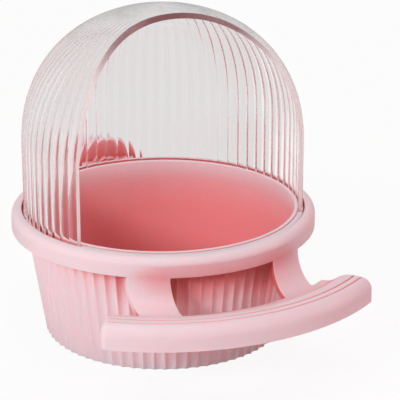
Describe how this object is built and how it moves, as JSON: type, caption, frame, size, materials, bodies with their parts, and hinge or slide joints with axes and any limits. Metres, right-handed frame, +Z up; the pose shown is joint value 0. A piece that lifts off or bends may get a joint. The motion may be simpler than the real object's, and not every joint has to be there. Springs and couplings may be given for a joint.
{
  "type": "cage-hung bird feeder",
  "caption": "Fluted pink food cup under a clear fluted hood with an arched doorway, held by a collar with a curved perch and a screw clamp for a cage wall.",
  "frame": {"origin": "centre of the cup's bottom face, on which the feeder stands", "axes": "+Z up, the doorway and perch towards -Y, the cage clamp towards +Y, +X to the right seen from the front"},
  "size_m": [0.122, 0.1912, 0.132],
  "materials": {
    "pink_plastic": "semi-gloss moulded",
    "clear_plastic": "polished clear",
    "steel": "bright zinc plated"
  },
  "bodies": {
    "holder": {"perch_holder": "pink_plastic", "clamp_bolt": "steel"},
    "cup": {"food_cup": "pink_plastic"},
    "hood": {"dome_cover": "clear_plastic"},
    "plate": {"clamp_disc": "pink_plastic"},
    "knob": {"clamp_knob": "pink_plastic", "knob_nut": "steel"}
  },
  "joints": [
    {"name": "cup_lift", "type": "slide", "parent": "holder", "child": "cup", "axis": [0, 0, 1], "range_m": [0, 0.07]},
    {"name": "dome_lift", "type": "slide", "parent": "cup", "child": "hood", "axis": [0, 0, 1], "range_m": [0, 0.09]},
    {"name": "plate_slide", "type": "slide", "parent": "holder", "child": "plate", "axis": [0, 1, 0], "range_m": [-0.0051, 0.0026]},
    {"name": "knob_spin", "type": "hinge", "parent": "plate", "child": "knob", "pos_m": [0, 0.0797, 0.0407], "axis": [0, 1, 0], "range_deg": [-1440, 720]}
  ],
  "couplings": [
    {"joint": "plate_slide", "follows": "knob_spin", "m_per_rad": 0.00019894}
  ]
}
